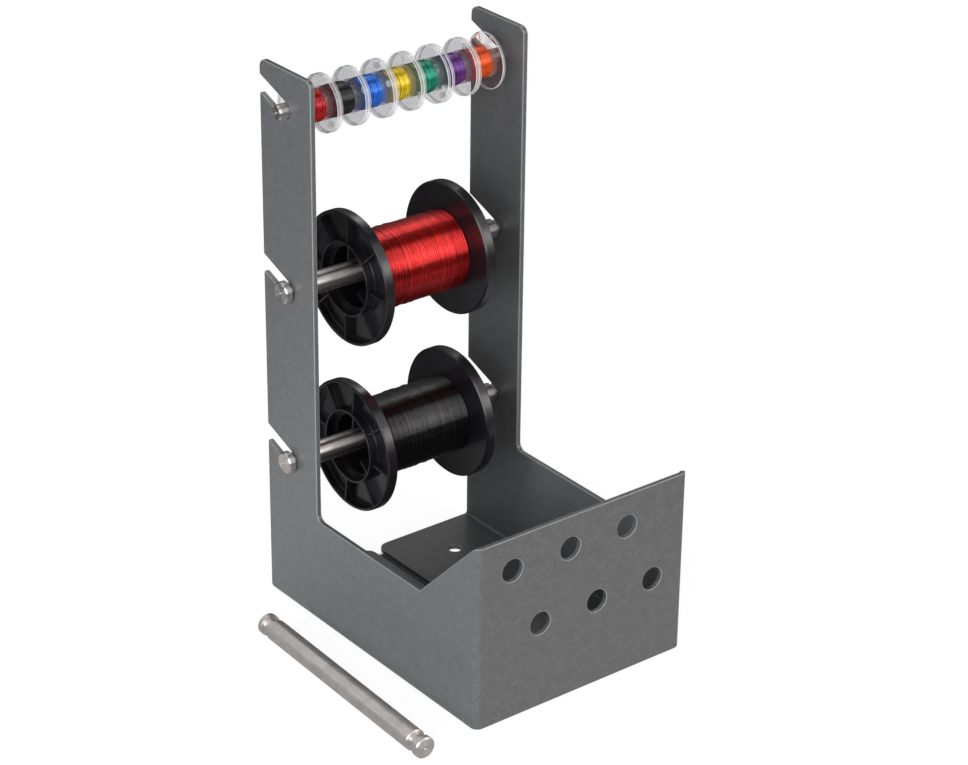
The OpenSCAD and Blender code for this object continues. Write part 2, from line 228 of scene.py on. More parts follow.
# Bobbins, in millimetres
BOBBIN_R = 10.4
BOBBIN_HALF = 5.8
BOBBIN_FLANGE_T = 1.1
BOBBIN_BORE_R = 3.5
BOBBIN_HUB_R = 4.3
THREAD_HOLE_R = 1
THREAD_HOLE_PLACE_R = 8
THREAD_HOLE_ANGLES = (-131, 20, 150, 75, 200, -120, 100)
DRILL_HALF = 9
BOBBIN_WIRE_R = 0.2
BOBBIN_WIRE_PITCH = 0.26
BOBBIN_WIRE_STEPS = 36
BOBBIN_WIRE_SIDES = 5
BOBBIN_WINDING_R = 5.75
BOBBIN_WINDING_W = 8.1
BOBBIN_WINDING_SHIFT = -0.4
BOBBIN_UNEVEN = 0.45
BOBBIN_STRAYS = {"count": 4, "room": 2, "drifts": (0.8, 3), "spans": (0.5, 1.2)}
LOOSE_WIRE_SHARE = 0.8
LOOSE_STEPS = 8
LOOSE_LOOP = [
    (3.5, 5.1, 1.2),
    (4.2, 6.5, 4.4),
    (4.6, 5.2, 7.4),
    (4.7, 3.6, 9.6),
    (4.6, 2.7, 8.2),
    (4.4, 2.1, 6.6),
    (3.6, 2.0, 4.7),
]

# Windings: distances in turns, and shares of the wire's radius or pitch
SWELL_TURNS = 1.3
SHIFT_TURNS = 0.9
SHIFT_SHARE = 0.2
SINK = 1.6
SINK_PART = 6
STRAY_SIDES = 6
CORE_PLAY = 0.05

# Colours: shades as (place on the ramp, colour), wires as name, shade, bright
COAT_SHADES = [
    (0.4, (0.086, 0.087, 0.089)),
    (0.66, (0.115, 0.116, 0.118)),
    (0.95, (0.185, 0.187, 0.19)),
]
# Painted highlight: the lighter coat colour laid along the sheet's rounded edges
PAINTED_EDGE_HIGHLIGHT_COLOUR = (0.3, 0.302, 0.305, 1.0)
STEEL_SHADES = [(0.25, (0.66, 0.61, 0.585)), (0.55, (0.8, 0.745, 0.715)), (0.8, (0.9, 0.86, 0.83))]
BLACK_SHADES = [
    (0.3, (0.009, 0.0075, 0.0095)),
    (0.62, (0.0135, 0.0115, 0.014)),
    (0.8, (0.026, 0.024, 0.027)),
]
# Painted highlight on the bobbins' flange rims: levels across the rim's outer edge
PAINTED_RIM_HIGHLIGHT_LEVELS = [(0.4, 0), (0.5, 0.85), (0.93, 0.85), (0.97, 0.28)]
# Painted refraction of each bobbin's wire in its clear hub: a pale base and the wire colour's
# share
PAINTED_REFRACTION_BASE = 0.9
PAINTED_REFRACTION_WIRE_SHARE = 0.55
SPOOL_WIRES = [
    ("black", (0.008, 0.007, 0.0075), (0.05, 0.046, 0.047)),
    ("red", (0.26, 0.006, 0.007), (0.86, 0.026, 0.022)),
]
BOBBIN_WIRES = [
    ("dark_red", (0.16, 0.005, 0.007), (0.72, 0.02, 0.025)),
    ("charcoal", (0.006, 0.006, 0.007), (0.03, 0.03, 0.034)),
    ("blue", (0.008, 0.04, 0.28), (0.03, 0.24, 0.95)),
    ("yellow", (0.42, 0.21, 0.004), (1.0, 0.76, 0.02)),
    ("green", (0.002, 0.075, 0.045), (0.015, 0.4, 0.24)),
    ("purple", (0.035, 0.008, 0.07), (0.2, 0.05, 0.32)),
    ("orange", (0.6, 0.03, 0.003), (1.0, 0.14, 0.012)),
]
SPOOL_WIRE_LOOK = {"streak_scale": 2300, "metal": 0.9}
BOBBIN_WIRE_LOOK = {"streak_scale": 2600, "metal": 0.4}


def shown(
    name, points, faces, material, body, place=(0, 0, 0), turn=(0, 0, 0), sharp=None, normals=None
):
    """A mesh piece from points in millimetres round place, in metres, turned by angles in
    radians, that rides on a body."""
    mesh = bpy.data.meshes.new(name)
    mesh.from_pydata([tuple(v * MM for v in p) for p in points], [], faces)
    mesh.validate()
    mesh.polygons.foreach_set("use_smooth", [True] * len(mesh.polygons))
    if sharp is not None:
        mesh.set_sharp_from_angle(angle=math.radians(sharp))
    if normals is not None:
        mesh.normals_split_custom_set_from_vertices(normals)
    mesh.materials.append(material)
    piece = bpy.data.objects.new(name, mesh)
    piece.location = place
    piece.rotation_euler = turn
    bpy.context.scene.collection.objects.link(piece)
    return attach(piece, body)


def middle(node):
    """Middle of a node's box."""
    low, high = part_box(node)
    return (low + high) / 2


# Outlines


def arc_points(centre, radius, start, end, steps):
    """Points of an arc from start to end, in degrees, ends included."""
    return [
        (
            centre[0] + radius * math.cos(math.radians(start + (end - start) * k / steps)),
            centre[1] + radius * math.sin(math.radians(start + (end - start) * k / steps)),
        )
        for k in range(steps + 1)
    ]


def rounded(corners, steps=EASE_STEPS):
    """An outline from corners (x, y, radius), with each corner rounded to its radius."""
    points = []
    for i, (x, y, radius) in enumerate(corners):
        here = Vector((x, y))
        if radius == 0:
            points.append((x, y))
            continue
        to_last = (Vector(corners[i - 1][:2]) - here).normalized()
        to_next = (Vector(corners[(i + 1) % len(corners)][:2]) - here).normalized()
        half = to_last.angle(to_next) / 2
        centre = here + (to_last + to_next).normalized() * (radius / math.sin(half))
        start = here + to_last * (radius / math.tan(half)) - centre
        end = here + to_next * (radius / math.tan(half)) - centre
        first = math.degrees(math.atan2(start.y, start.x))
        turn = math.degrees(math.atan2(start.cross(end), start.dot(end)))
        points += arc_points(centre, radius, first, first + turn, steps)
    return points


def inset(loop, distance):
    """The loop moved to its left by distance, corners mitred."""
    moved = []
    for i, here in enumerate(loop):
        before = (Vector(here) - Vector(loop[i - 1])).normalized()
        after = (Vector(loop[(i + 1) % len(loop)]) - Vector(here)).normalized()
        left = Vector((-before.y - after.y, before.x + after.x)).normalized()
        stretch = 1 / max(left.dot(Vector((-after.y, after.x))), MITRE_LIMIT)
        moved.append(tuple(Vector(here) + left * distance * stretch))
    return moved


# Folded sheet


HALF_FRONT = HALF_W - FOLD_R
FOLD_LENGTH = math.pi / 2 * (FOLD_R - SHEET_T / 2)
WALL_START_Y = FRONT_Y + FOLD_R


def along_wall(y):
    """Place along the flat sheet, from the middle of the front panel, of a wall's point at y."""
    return HALF_FRONT + FOLD_LENGTH + y - WALL_START_Y


def flat_outline():
    """Right half of the flat sheet, from the front panel's bottom middle round to its top."""
    back = along_wall(BACK_Y)
    flange_start = along_wall(FLANGE_Y)
    flange_end = FOLD_R - FOLD_LENGTH - (HALF_FRONT - FLOOR_GAP / 2)
    relief_top = FOLD_R + RELIEF_W
    slope = math.tan(math.radians(SLOT_ANGLE))
    lift = SLOT_W / 2 / math.cos(math.radians(SLOT_ANGLE))
    corners = [
        (0, FOOT_GAP, 0),
        (flange_start - RELIEF_W, FOOT_GAP, 0),
        (flange_start - RELIEF_W, relief_top, 0),
        (flange_start, relief_top, 0),
        (flange_start, flange_end, FLOOR_CORNER_R),
        (back, flange_end, FLOOR_CORNER_R),
    ]
    for height in SEAT_HEIGHTS:
        mouth = height + (BACK_Y - SEAT_Y) * slope
        seat = (along_wall(SEAT_Y), height)
        seat_arc = arc_points(seat, SLOT_W / 2, SLOT_ANGLE - 90, SLOT_ANGLE - 270, SEAT_STEPS)
        corners.append((back, mouth - lift, CORNER_R))
        corners += [(x, y, 0) for x, y in seat_arc]
        corners.append((back, mouth + lift, CORNER_R))
    corners += [
        (back, STAND_H, TOP_CORNER_R),
        (along_wall(POST_Y), STAND_H, TOP_CORNER_R),
        (along_wall(POST_Y), WALL_H, THROAT_R),
        (along_wall(NOTCH_Y), WALL_H, NOTCH_R),
        (HALF_FRONT + FRONT_CORNER_SHARE * FOLD_LENGTH, FRONT_H, FRONT_CORNER_R),
        (0, FRONT_H, 0),
    ]
    return rounded(corners, CORNER_STEPS)


def circle_hole(centre, radius):
    """A hole's loop, clockwise, so that the sheet lies to its left."""
    return arc_points(centre, radius, 360, 0, HOLE_STEPS)[:-1]


def sheet_loops():
    """The flat sheet's outline and holes, each with the sheet to its left."""
    right = flat_outline()
    left = [(-x, y) for x, y in reversed(right)][1:-1]
    loops = [right + left]
    loops += [circle_hole(place, GUIDE_R) for place in GUIDE_PLACES]
    for side in (-1, 1):
        for y in (-BENCH_Y, BENCH_Y):
            v = FOLD_R - FOLD_LENGTH - (HALF_FRONT - BENCH_X)
            loops.append(circle_hole((side * along_wall(y), v), BENCH_HOLE_R))
    return loops


def flat_sheet(loops):
    """The flat sheet as a mesh with rounded edges: points (u, v, depth), normals and faces."""
    turns = [math.pi / 2 * k / EDGE_STEPS for k in range(EDGE_STEPS + 1)]
    rings = [(EDGE_R * (1 - math.sin(t)), EDGE_R * (1 - math.cos(t)), t) for t in turns]
    rings += [(d, SHEET_T - w, math.pi - t) for d, w, t in reversed(rings)]
    points, normals, faces = [], [], []
    firsts = []
    for loop in loops:
        out = [Vector(a) - Vector(b) for a, b in zip(loop, inset(loop, 1))]
        first = len(points)
        firsts.append(first)
        n = len(loop)
        for distance, depth, turn in rings:
            for here, away in zip(inset(loop, distance), out):
                points.append((*here, depth))
                away = away.normalized() * math.sin(turn)
                normals.append((away.x, away.y, -math.cos(turn)))
        for r in range(len(rings) - 1):
            for i in range(n):
                a, b = first + r * n + i, first + r * n + (i + 1) % n
                faces.append((b, a, a + n, b + n))
    for ring, flip in ((0, False), (len(rings) - 1, True)):
        flat, owner, edges, part = [], [], [], []
        for number, (first, loop) in enumerate(zip(firsts, loops)):
            n, at = len(loop), len(flat)
            owner += [first + ring * n + i for i in range(n)]
            flat += [Vector(points[k][:2]) for k in owner[at:]]
            edges += [(at + i, at + (i + 1) % n) for i in range(n)]
            part += [number] * n
        made = delaunay_2d_cdt(flat, edges, [], 1, JOIN_WITHIN)
        origin = [sources[0] for sources in made[3]]
        for face in made[2]:
            corners = [origin[k] for k in face]
            if len({part[k] for k in corners}) == 1 and part[corners[0]] > 0:
                continue
            corners = [owner[k] for k in corners]
            faces.append(tuple(reversed(corners) if flip else corners))
    return points, normals, faces


def fold(point, normal):
    """A point and normal of the flat sheet, folded into place; depth goes in from the outside."""
    u, v, depth = point
    side = -1 if u < 0 else 1
    u = abs(u)
    along = Vector((1, 0, 0))
    up = Vector((0, 0, 1))
    radius = FOLD_R - depth
    if u <= HALF_FRONT:
        place = Vector((u, FRONT_Y + depth, v))
        inward = Vector((0, 1, 0))
    elif u <= HALF_FRONT + FOLD_LENGTH:
        turn = (u - HALF_FRONT) / FOLD_LENGTH * math.pi / 2
        along = Vector((math.cos(turn), math.sin(turn), 0))
        inward = Vector((-math.sin(turn), math.cos(turn), 0))
        place = Vector((HALF_FRONT, WALL_START_Y, v)) - inward * radius
    else:
        along = Vector((0, 1, 0))
        inward = Vector((-1, 0, 0))
        y = WALL_START_Y + u - HALF_FRONT - FOLD_LENGTH
        place = Vector((HALF_W - depth, y, v))
        if v < FOLD_R and y > FLANGE_Y - RELIEF_W / 2:
            turn = min((FOLD_R - v) / FOLD_LENGTH, 1) * math.pi / 2
            inward = Vector((-math.cos(turn), 0, math.sin(turn)))
            up = Vector((math.sin(turn), 0, math.cos(turn)))
            place = Vector((HALF_FRONT, y, FOLD_R)) - inward * radius
            place.x -= max(FOLD_R - FOLD_LENGTH - v, 0)
    turned = along * normal[0] * side + up * normal[1] + inward * normal[2]
    place.x *= side
    turned.x *= side
    return place, turned


def folded_sheet(material):
    """The whole frame: the flat sheet, cut across its bends and folded."""
    points, normals, faces = flat_sheet(sheet_loops())
    bm = bmesh.new()
    store = bm.verts.layers.float_vector.new("flat_normal")
    for point, normal in zip(points, normals):
        bm.verts.new(point)[store] = normal
    bm.verts.ensure_lookup_table()
    for face in faces:
        bm.faces.new([bm.verts[k] for k in face])
    cuts = [
        ((side * (HALF_FRONT + FOLD_LENGTH * k / FOLD_STEPS), 0, 0), (1, 0, 0))
        for side in (-1, 1)
        for k in range(FOLD_STEPS + 1)
    ]
    heights = [FOLD_R - FOLD_LENGTH * k / FOLD_STEPS for k in range(FOLD_STEPS + 1)]
    cuts += [((0, height, 0), (0, 1, 0)) for height in heights]
    for place, direction in cuts:
        everything = bm.verts[:] + bm.edges[:] + bm.faces[:]
        bmesh.ops.bisect_plane(
            bm, geom=everything, dist=CUT_WITHIN, plane_co=place, plane_no=direction
        )
    bm.verts.index_update()
    folded = [fold(vert.co, vert[store]) for vert in bm.verts]
    made_faces = [tuple(vert.index for vert in face.verts) for face in bm.faces]
    # Share of the painted edge highlight: most half way round each rounded edge, none on flat
    # faces
    edges = [2 * vert[store].xy.length * abs(vert[store].z) for vert in bm.verts]
    bm.free()
    piece = shown(
        "folded_sheet",
        [place for place, _ in folded],
        made_faces,
        material,
        "stand",
        normals=[turned.normalized() for _, turned in folded],
    )
    # The painted edge highlight, kept on the points for the powder coat
    painted_edge_highlight = piece.data.attributes.new("painted_edge_highlight", "FLOAT", "POINT")
    painted_edge_highlight.data.foreach_set("value", edges)
    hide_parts("folded_frame")


# Turned and moulded forms


def braced(profile, closed):
    """The profile with points added close to the ends of its long stretches, so that smooth
    shading leaves them straight."""
    points = []
    for i, here in enumerate(profile):
        points.append(here)
        if i + 1 == len(profile) and not closed:
            break
        there = profile[(i + 1) % len(profile)]
        stretch = math.dist(here, there)
        if stretch > BRACED_FROM:
            for share in (BRACE / stretch, 1 - BRACE / stretch):
                points.append(tuple(a + (b - a) * share for a, b in zip(here, there)))
    return points


def lathe(profile, segments, closed=False):
    """Points and faces of a profile (x, radius) turned about X. An open one ends on the axis."""
    profile = braced(profile, closed)
    points, rings = [], []
    for x, radius in profile:
        if radius < JOIN_WITHIN:
            rings.append([len(points)] * segments)
            points.append((x, 0, 0))
            continue
        rings.append([len(points) + k for k in range(segments)])
        for k in range(segments):
            turn = 2 * math.pi * k / segments
            points.append((x, radius * math.cos(turn), radius * math.sin(turn)))
    faces = []
    count = len(rings)
    for i in range(count if closed else count - 1):
        a, b = rings[i], rings[(i + 1) % count]
        for k in range(segments):
            n = (k + 1) % segments
            corners = [a[k], b[k], b[n], a[n]]
            faces.append(tuple(dict.fromkeys(corners)))
    return points, faces


def mirrored_profile(half):
    """A half profile on the +X side, from the middle outwards, completed on the -X side."""
    return [(-x, r) for x, r in reversed(half)] + list(half)


def axle_end(radius, end):
    """Corners of a turned end with its chamfer and lathe centre."""
    return [
        (end - AXLE_CHAMFER, radius, EASE_SLIGHT),
        (end, radius - AXLE_CHAMFER, EASE_FINE),
        (end, CENTRE_R, EASE_TINY),
        (end - CENTRE_DEPTH, 0, 0),
    ]


def axle_profile(necked):
    """Half profile of an axle as rounded corners (x, radius)."""
    if not necked:
        corners = [(0, TOP_AXLE_R, 0)] + axle_end(TOP_AXLE_R, AXLE_HALF)
    else:
        corners = [
            (0, AXLE_R, 0),
            (SHOULDER_X - AXLE_CHAMFER, AXLE_R, EASE_FINE),
            (SHOULDER_X, AXLE_R - AXLE_CHAMFER, EASE_FINE),
            (SHOULDER_X, NECK_R, EASE_SOFT),
            (HEAD_X, NECK_R, EASE_SOFT),
            (HEAD_X, AXLE_R, EASE_SOFT),
        ] + axle_end(AXLE_R, AXLE_HALF)
    return rounded(corners, AXLE_EASE_STEPS)[1:]


def axle(node, necked, material, place=None, turn=(0, 0, 0)):
    """An axle along X in the middle of its node's box, unless it is given a place and turn."""
    points, faces = lathe(mirrored_profile(axle_profile(necked)), AXLE_SEGMENTS)
    if place is None:
        place = middle(node)
    label = "turned_" + node
    piece = shown(label, points, faces, material, node, place, turn, sharp=SHARP_TURNED)
    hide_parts(node)


def spare_axle(material):
    """The spare axle lies turned out of line, so its own ends give its place and direction."""
    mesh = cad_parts["spare_axle"].data
    places = np.array([v.co for v in mesh.vertices])
    centre = (places.min(0) + places.max(0)) / 2
    flat = places[:, :2] - centre[:2]
    values, directions = np.linalg.eigh(flat.T @ flat)
    along = directions[:, int(np.argmax(values))]
    place = (float(centre[0]), float(centre[1]), float(centre[2]))
    axle("spare_axle", True, material, place, (0, 0, math.atan2(along[1], along[0])))


def spool_profile():
    """The closed section of a spool's flanges, hub rings and barrel, corners eased."""
    inner_x = SPOOL_HALF - FLANGE_T
    web_x = inner_x + WEB_T
    barrel_in = BARREL_R - BARREL_WALL
    ring_in = HUB_RING_R - HUB_RING_WALL
    rim_in = SPOOL_R - RIM_T
    half = [
        (web_x, barrel_in, EASE_FINE),
        (web_x, ring_in, EASE_FINE),
        (SPOOL_HALF + HUB_RING_PROUD, ring_in, EASE_ROUND),
        (SPOOL_HALF + HUB_RING_PROUD, HUB_RING_R, EASE_ROUND),
        (web_x, HUB_RING_R, EASE_FULL),
        (web_x, rim_in, EASE_FULL),
        (SPOOL_HALF, rim_in, EASE_FULL),
        (SPOOL_HALF, SPOOL_R, EASE_RIM),
        (inner_x + RIM_CHAMFER, SPOOL_R, EASE_SLIGHT),
        (inner_x, SPOOL_R - RIM_CHAMFER, EASE_SLIGHT),
        (inner_x, BARREL_R, EASE_SOFT),
    ]
    return rounded(half + [(-x, r, ease) for x, r, ease in reversed(half)])


def rounded_box(low, high):
    """Points and faces of a box with its edges eased, by one bevel."""
    bm = bmesh.new()
    bmesh.ops.create_cube(bm, size=1)
    for vert in bm.verts:
        vert.co = [lo + (hi - lo) * (c + 0.5) for lo, hi, c in zip(low, high, vert.co)]
    bmesh.ops.bevel(
        bm, geom=bm.edges[:], offset=EASE_SOFT, segments=2, profile=0.5, affect="EDGES"
    )
    bm.verts.index_update()
    points = [tuple(vert.co) for vert in bm.verts]
    faces = [tuple(vert.index for vert in face.verts) for face in bm.faces]
    bm.free()
    return points, faces


def turned_about_x(points, degrees):
    """The points turned about X."""
    c, s = math.cos(math.radians(degrees)), math.sin(math.radians(degrees))
    return [(x, y * c - z * s, y * s + z * c) for x, y, z in points]


def joined(parts):
    """One list of points and faces from several."""
    points, faces = [], []
    for part_points, part_faces in parts:
        first = len(points)
        points += list(part_points)
        faces += [tuple(k + first for k in face) for face in part_faces]
    return points, faces


def spool_ribs():
    """Eight ribs in each flange and three between the bore tube and the barrel."""
    parts = []
    web_x = SPOOL_HALF - FLANGE_T + WEB_T
    low = (web_x - WEB_T / 2, HUB_RING_R - HUB_RING_WALL / 2, -RIB_T / 2)
    high = (SPOOL_HALF - RIB_DROP, SPOOL_R - RIM_T / 2, RIB_T / 2)
    flange_rib, faces = rounded_box(low, high)
    for k in range(FLANGE_RIBS):
        turned = turned_about_x(flange_rib, 360 * k / FLANGE_RIBS)
        parts.append((turned, faces))
        parts.append(([(-x, y, z) for x, y, z in turned], [face[::-1] for face in faces]))
    reach = SPOOL_HALF - HUB_RIB_DROP
    low_r = BORE_R + BORE_WALL / 2
    low = (-reach, low_r, -RIB_T / 2)
    high = (reach, BARREL_R - BARREL_WALL / 2, RIB_T / 2)
    barrel_rib, faces = rounded_box(low, high)
    low = (web_x - WEB_T / 2, low_r, -RIB_T / 2)
    high = (reach, HUB_RING_R - HUB_RING_WALL / 2, RIB_T / 2)
    ring_rib, ring_faces = rounded_box(low, high)
    for angle in BARREL_RIB_ANGLES:
        parts.append((turned_about_x(barrel_rib, angle), faces))
        turned = turned_about_x(ring_rib, angle)
        parts.append((turned, ring_faces))
        parts.append(([(-x, y, z) for x, y, z in turned], [face[::-1] for face in ring_faces]))
    return joined(parts)


def solid_object(name, points, faces):
    """A plain mesh object for a boolean to work on."""
    mesh = bpy.data.meshes.new(name)
    mesh.from_pydata(points, [], faces)
    made = bpy.data.objects.new(name, mesh)
    bpy.context.scene.collection.objects.link(made)
    return made


def combined(base, tool, operation, overlapping=False):
    """Points and faces of two solids joined or cut by an exact boolean."""
    first = solid_object("base", *base)
    second = solid_object("tool", *tool)
    boolean = first.modifiers.new("boolean", "BOOLEAN")
    boolean.operation = operation
    boolean.solver = "EXACT"
    boolean.use_self = overlapping
    boolean.object = second
    graph = bpy.context.evaluated_depsgraph_get()
    mesh = first.evaluated_get(graph).to_mesh()
    points = [tuple(vert.co) for vert in mesh.vertices]
    made_faces = [tuple(poly.vertices) for poly in mesh.polygons]
    first.evaluated_get(graph).to_mesh_clear()
    for made in (first, second):
        bpy.data.meshes.remove(made.data)
    return points, made_faces


def spool_solid():
    """One spool's moulding about its own middle."""
    shell = lathe(spool_profile(), SPOOL_SEGMENTS, closed=True)
    bore_x = SPOOL_HALF - BORE_RECESS
    tube_section = rounded(
        [
            (bore_x, BORE_R, EASE_ROUND),
            (bore_x, BORE_R + BORE_WALL, EASE_ROUND),
            (-bore_x, BORE_R + BORE_WALL, EASE_ROUND),
            (-bore_x, BORE_R, EASE_ROUND),
        ]
    )
    bore = lathe(tube_section, TUBE_SEGMENTS, closed=True)
    return combined(joined([shell, bore]), spool_ribs(), "UNION", overlapping=True)


def spool(colour, solid, material):
    """The moulding of one spool, turned as it stands in the photograph."""
    node = colour + "_spool"
    points, faces = solid
    turned = turned_about_x(points, SPOOL_TURNS[colour])
    label = "moulded_" + node
    piece = shown(label, turned, faces, material, node, middle(node), sharp=SHARP_SPOOL)
    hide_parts(node)


def bobbin_solid():
    """A clear bobbin about its own middle, with a thread hole in each flange."""
    inner_x = BOBBIN_HALF - BOBBIN_FLANGE_T
    half = [
        (BOBBIN_HALF, BOBBIN_BORE_R, EASE_FULL),
        (BOBBIN_HALF, BOBBIN_R, EASE_SOFT),
        (inner_x, BOBBIN_R, EASE_SOFT),
        (inner_x, BOBBIN_HUB_R, EASE_FULL),
    ]
    section = rounded(half + [(-x, r, ease) for x, r, ease in reversed(half)])
    body = lathe(section, BOBBIN_SEGMENTS, closed=True)
    drill_profile = [
        (-DRILL_HALF, 0),
        (-DRILL_HALF, THREAD_HOLE_R),
        (DRILL_HALF, THREAD_HOLE_R),
        (DRILL_HALF, 0),
    ]
    drill, faces = lathe(drill_profile, DRILL_SEGMENTS)
    drill = [(x, y + THREAD_HOLE_PLACE_R, z) for x, y, z in drill]
    return combined(body, (drill, faces), "DIFFERENCE")


def bobbin(number, solid, material):
    """One clear bobbin, with its thread holes where the photograph has them."""
    node = f"bobbin_{number}"
    turn = (math.radians(THREAD_HOLE_ANGLES[number - 1]), 0, 0)
    label = f"clear_{node}"
    piece = shown(label, *solid, material, node, middle(node), turn, sharp=SHARP_TURNED)
    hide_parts(node)


# Windings


def tube(path, out, radius, sides):
    """Points and faces of a tube along a path, with its rings turned to out."""
    path = np.array(path)
    along = np.gradient(path, axis=0)
    along /= np.linalg.norm(along, axis=1)[:, None]
    rise = np.array(out) - along * np.sum(np.array(out) * along, axis=1)[:, None]
    rise /= np.linalg.norm(rise, axis=1)[:, None]
    side = np.cross(along, rise)
    turns = 2 * np.pi * np.arange(sides) / sides
    upward = np.cos(turns)[None, :, None] * rise[:, None]
    sideways = np.sin(turns)[None, :, None] * side[:, None]
    points = (path[:, None] + radius * (upward + sideways)).reshape(-1, 3)
    faces = []
    for i in range(len(path) - 1):
        for k in range(sides):
            a, b = i * sides + k, i * sides + (k + 1) % sides
            faces.append((a, b, b + sides, a + sides))
    last = (len(path) - 1) * sides
    faces.append(tuple(range(sides - 1, -1, -1)))
    faces.append(tuple(range(last, last + sides)))
    return points.tolist(), faces


def wobble(rng, length, step, size):
    """Smooth random numbers of the given size, one for each of length places."""
    knots = [rng.uniform(-size, size) for _ in range(int(length / step) + 3)]
    values = []
    for i in range(length):
        at, t = divmod(i / step, 1)
        t = t * t * (3 - 2 * t)
        values.append(knots[int(at)] * (1 - t) + knots[int(at) + 1] * t)
    return values


def winding(width, radius, wire_r, pitch, steps, sides, uneven, rng):
    """A layer of fine wire wound side by side about X, its turns a little uneven."""
    run = width - 2 * wire_r
    turns = int(run / pitch)
    count = turns * steps + 1
    swell = wobble(rng, count, steps * SWELL_TURNS, wire_r * uneven)
    shift = wobble(rng, count, steps * SHIFT_TURNS, pitch * SHIFT_SHARE)
    path, out = [], []
    for i in range(count):
        angle = 2 * math.pi * i / steps
        x = run * (i / (count - 1) - 0.5) + shift[i] * min(i, count - 1 - i, steps) / steps
        r = radius - wire_r + swell[i]
        path.append((x, r * math.cos(angle), r * math.sin(angle)))
        out.append((0, math.cos(angle), math.sin(angle)))
    return tube(path, out, wire_r, sides)


def stray_turn(width, radius, wire_r, start, drift, span, first_angle, steps):
    """A stretch of wire that crosses the layer below, sinking into it at both ends."""
    path, out = [], []
    count = int(steps * span)
    for i in range(count + 1):
        t = i / count
        angle = math.radians(first_angle) + 2 * math.pi * span * t
        sink = wire_r * SINK * (1 - min(1, SINK_PART * t, SINK_PART * (1 - t)))
        x = max(-width / 2 + wire_r, min(width / 2 - wire_r, start + drift * t))
        path.append((x, (radius - sink) * math.cos(angle), (radius - sink) * math.sin(angle)))
        out.append((0, math.cos(angle), math.sin(angle)))
    return tube(path, out, wire_r, STRAY_SIDES)


def stray_turns(rule, width, radius, wire_r, steps, rng):
    """Stray turns laid at random over a winding."""
    made = []
    for _ in range(rule["count"]):
        start = rng.uniform(-width / 2, width / 2 - rule["room"])
        drift = rng.uniform(*rule["drifts"])
        span = rng.uniform(*rule["spans"])
        angle = rng.uniform(0, 360)
        made.append(stray_turn(width, radius, wire_r, start, drift, span, angle, steps))
    return made


def smooth_path(knots, steps):
    """A smooth curve through the knots."""
    knots = [Vector(k) for k in knots]
    ends = [2 * knots[0] - knots[1]] + knots + [2 * knots[-1] - knots[-2]]
    path = []
    for i in range(1, len(ends) - 2):
        a, b, c, d = ends[i - 1 : i + 3]
        for k in range(steps):
            t = k / steps
            bend = 2 * a - 5 * b + 4 * c - d
            twist = 3 * b - a - 3 * c + d
            path.append(tuple((2 * b + (c - a) * t + bend * t**2 + twist * t**3) / 2))
    return path + [tuple(knots[-1])]


def core(width, radius, bore):
    """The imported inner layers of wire, as one turned ring."""
    half = width / 2
    section = [(half, bore), (half, radius), (-half, radius), (-half, bore)]
    return lathe(section, TUBE_SEGMENTS, closed=True)


def wound_wire(label, layers, turns, body, place, parts, material):
    """The winding's piece, which stands for both of its CAD nodes."""
    piece = shown(label, *joined(parts), material, body, place)
    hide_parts(layers, turns)


def spool_wire(colour, material, rng):
    """The winding of one spool."""
    radius, wire_r, steps = SPOOL_WINDING_R, SPOOL_WIRE_R, SPOOL_WIRE_STEPS
    width = 2 * (SPOOL_HALF - FLANGE_T) - SPOOL_WINDING_PLAY
    parts = [
        core(width, radius - SINK * wire_r, BARREL_R + CORE_PLAY),
        winding(
            width, radius, wire_r, SPOOL_WIRE_PITCH, steps, SPOOL_WIRE_SIDES, SPOOL_UNEVEN, rng
        ),
    ]
    parts += stray_turns(SPOOL_STRAYS, width, radius, wire_r, steps, rng)
    node = colour + "_spool"
    layers, turns = colour + "_wire_layers", colour + "_wire_turns"
    label = colour + "_spool_wire"
    wound_wire(label, layers, turns, node, middle(node), parts, material)


def bobbin_wire(number, name, material, rng):
    """The winding of one bobbin, with the loose end of the orange one."""
    radius, wire_r, steps = BOBBIN_WINDING_R, BOBBIN_WIRE_R, BOBBIN_WIRE_STEPS
    width = BOBBIN_WINDING_W
    parts = [
        core(width, radius - SINK * wire_r, BOBBIN_HUB_R + CORE_PLAY),
        winding(
            width, radius, wire_r, BOBBIN_WIRE_PITCH, steps, BOBBIN_WIRE_SIDES, BOBBIN_UNEVEN, rng
        ),
    ]
    parts += stray_turns(BOBBIN_STRAYS, width, radius, wire_r, steps, rng)
    if name == "orange":
        loop = smooth_path(LOOSE_LOOP, LOOSE_STEPS)
        parts.append(tube(loop, [(1, 0, 0)] * len(loop), wire_r * LOOSE_WIRE_SHARE, STRAY_SIDES))
    node = f"bobbin_{number}"
    layers, turns = f"bobbin_layers_{number}", f"bobbin_turns_{number}"
    label = f"{name}_bobbin_wire"
    place = middle(node) + Vector((BOBBIN_WINDING_SHIFT * MM, 0, 0))
    wound_wire(label, layers, turns, node, place, parts, material)


# Materials


def tree_of(name):
    """A new material and its empty node tree."""
    material = bpy.data.materials.new(name)
    material.use_nodes = True
    tree = material.node_tree
    tree.nodes.clear()
    return material, tree


def add(tree, kind, settings=None, **inputs):
    """A node of the tree with its settings, and its inputs set or linked by name or number."""
    node = tree.nodes.new("ShaderNode" + kind)
    for key, value in (settings or {}).items():
        setattr(node, key, value)
    for key, value in inputs.items():
        number = key[1:]
        socket = node.inputs[int(number) if number.isdigit() else key.replace("_", " ")]
        if isinstance(value, bpy.types.NodeSocket):
            tree.links.new(value, socket)
        else:
            socket.default_value = value
    return node


def calc(tree, operation, *values):
    """The result of a maths node."""
    inputs = {f"_{k}": value for k, value in enumerate(values)}
    return add(tree, "Math", {"operation": operation}, **inputs).outputs[0]


